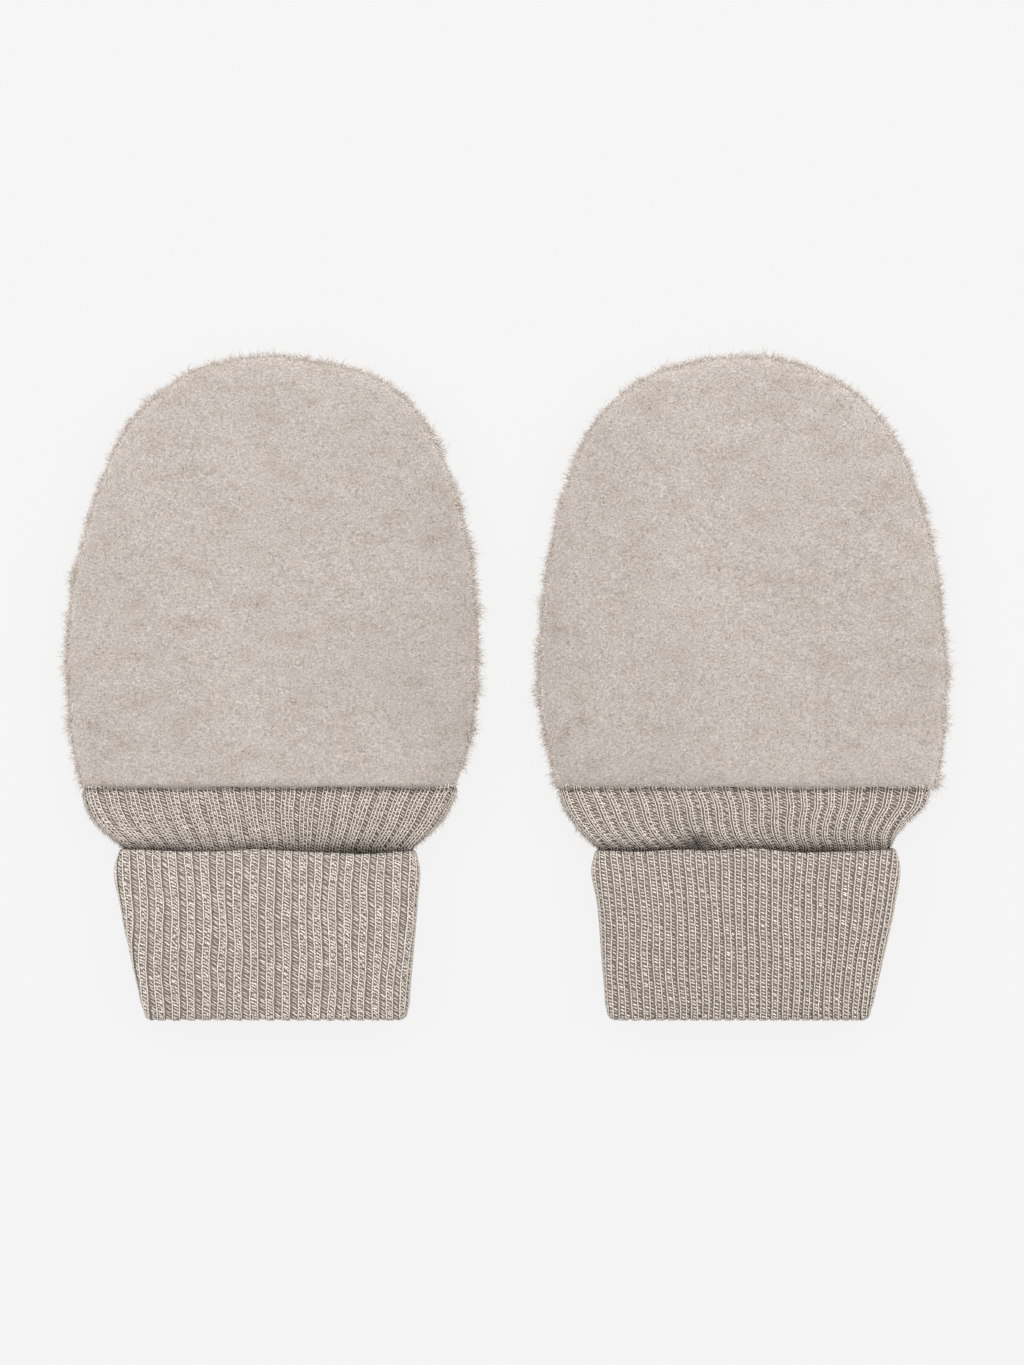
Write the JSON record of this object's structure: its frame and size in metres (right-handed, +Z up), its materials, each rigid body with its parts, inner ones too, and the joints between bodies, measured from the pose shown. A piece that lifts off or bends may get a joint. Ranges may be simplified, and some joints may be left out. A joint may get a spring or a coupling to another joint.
{
  "type": "pair of baby mittens",
  "caption": "Pair of thumbless baby mittens laid flat, with brushed fleece hand parts and turned-up rib-knit cuffs.",
  "frame": {"origin": "middle of the pair's footprint, on the surface that it lies on", "axes": "+X across the pair to the right-hand mitten, +Y to the finger ends, +Z up from the surface"},
  "size_m": [0.1808, 0.1362, 0.0084],
  "materials": {
    "fleece": "brushed wool fleece, pale warm grey, mottled, with a short soft nap",
    "rib_knit": "fine two-by-two rib knit, warm grey-beige, matt"
  },
  "bodies": {
    "root": {"left_front": "fleece", "left_back": "fleece", "left_cuff": "rib_knit", "right_front": "fleece", "right_back": "fleece", "right_cuff": "rib_knit"}
  },
  "joints": []
}
